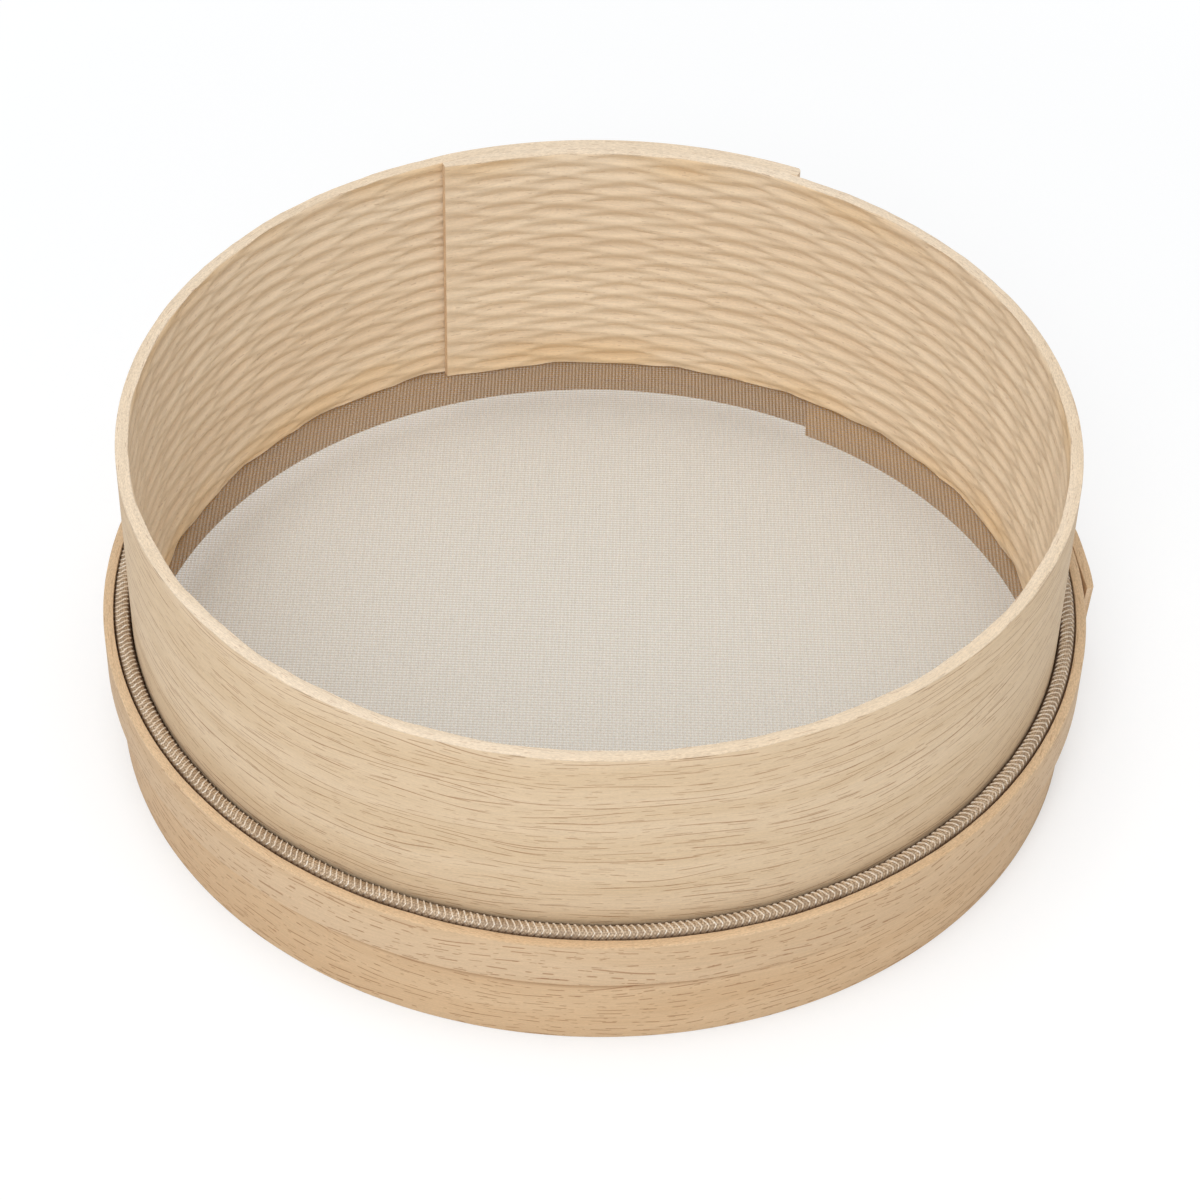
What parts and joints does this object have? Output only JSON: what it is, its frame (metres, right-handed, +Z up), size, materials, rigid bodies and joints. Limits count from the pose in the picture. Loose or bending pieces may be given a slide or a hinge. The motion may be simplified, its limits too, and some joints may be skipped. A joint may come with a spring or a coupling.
{
  "type": "drum sieve",
  "caption": "Round drum sieve of bent beech boards: a tall lapped drum on a wider foot with a collar, and a fine cloth stretched across between them.",
  "frame": {"origin": "centre of the sieve's outline on the table, under the foot's lower edge", "axes": "+Z up through the drum's open top, -Y towards the viewer of the picture, with the boards' laps at the back and right"},
  "size_m": [0.268, 0.2661, 0.093],
  "materials": {
    "drum_beech": "bare planed beech",
    "foot_beech": "bare planed beech",
    "collar_beech": "bare planed beech",
    "sieve_cloth": "glossy woven monofilament",
    "rolled_cloth": "glossy woven monofilament, rolled"
  },
  "bodies": {
    "root": {"drum_board": "drum_beech", "foot_board": "foot_beech", "collar_board": "collar_beech", "sieve_cloth": "sieve_cloth", "cloth_edge": "rolled_cloth"}
  },
  "joints": []
}
